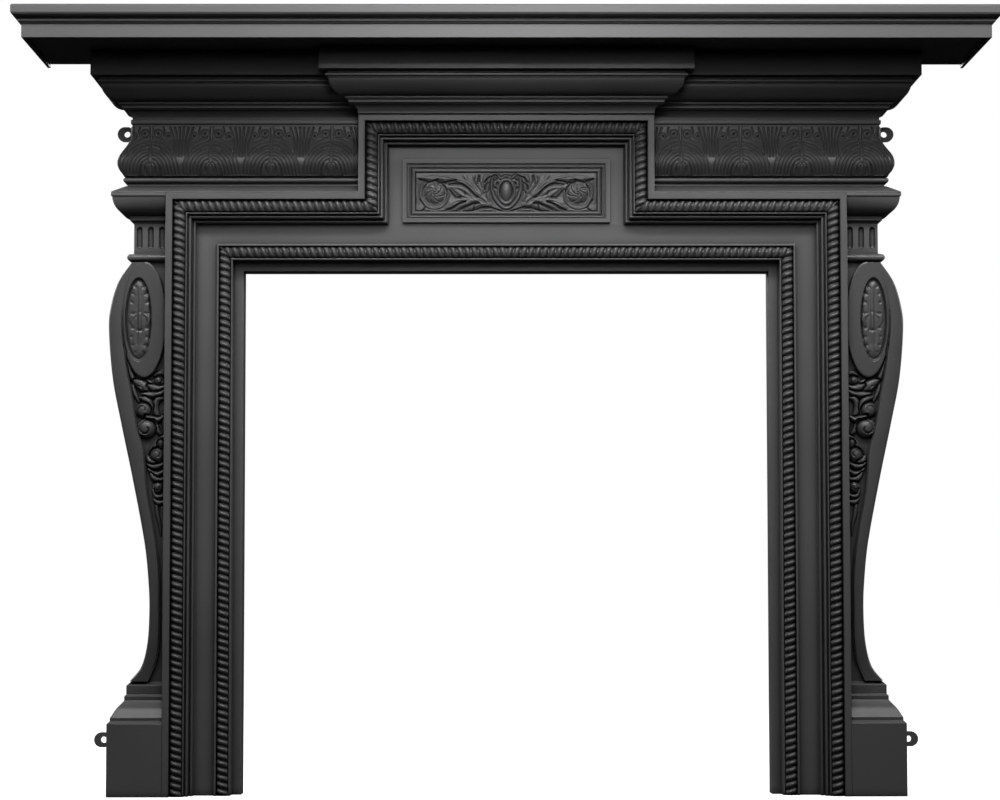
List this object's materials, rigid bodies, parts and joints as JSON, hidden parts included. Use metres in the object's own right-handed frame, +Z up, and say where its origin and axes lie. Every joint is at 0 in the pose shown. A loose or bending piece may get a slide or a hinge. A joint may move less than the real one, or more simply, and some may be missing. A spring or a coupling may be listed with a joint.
{
  "type": "fireplace surround",
  "caption": "Cast-iron fireplace surround with a deep moulded mantel shelf, leaf frieze, rope-moulded frame, carved centre panel and scrolled console legs.",
  "frame": {"origin": "on the hearth, centred across the width and the depth of the whole surround", "axes": "+Z up, +X to the right as seen from the room, the front faces -Y and the wall plane is the back at +Y"},
  "size_m": [1.652, 0.286, 1.3254],
  "materials": {
    "blacked_iron": "matt black polish on cast iron"
  },
  "bodies": {
    "root": {"mantel_shelf": "blacked_iron", "header": "blacked_iron", "left_leg": "blacked_iron", "right_leg": "blacked_iron"}
  },
  "joints": []
}
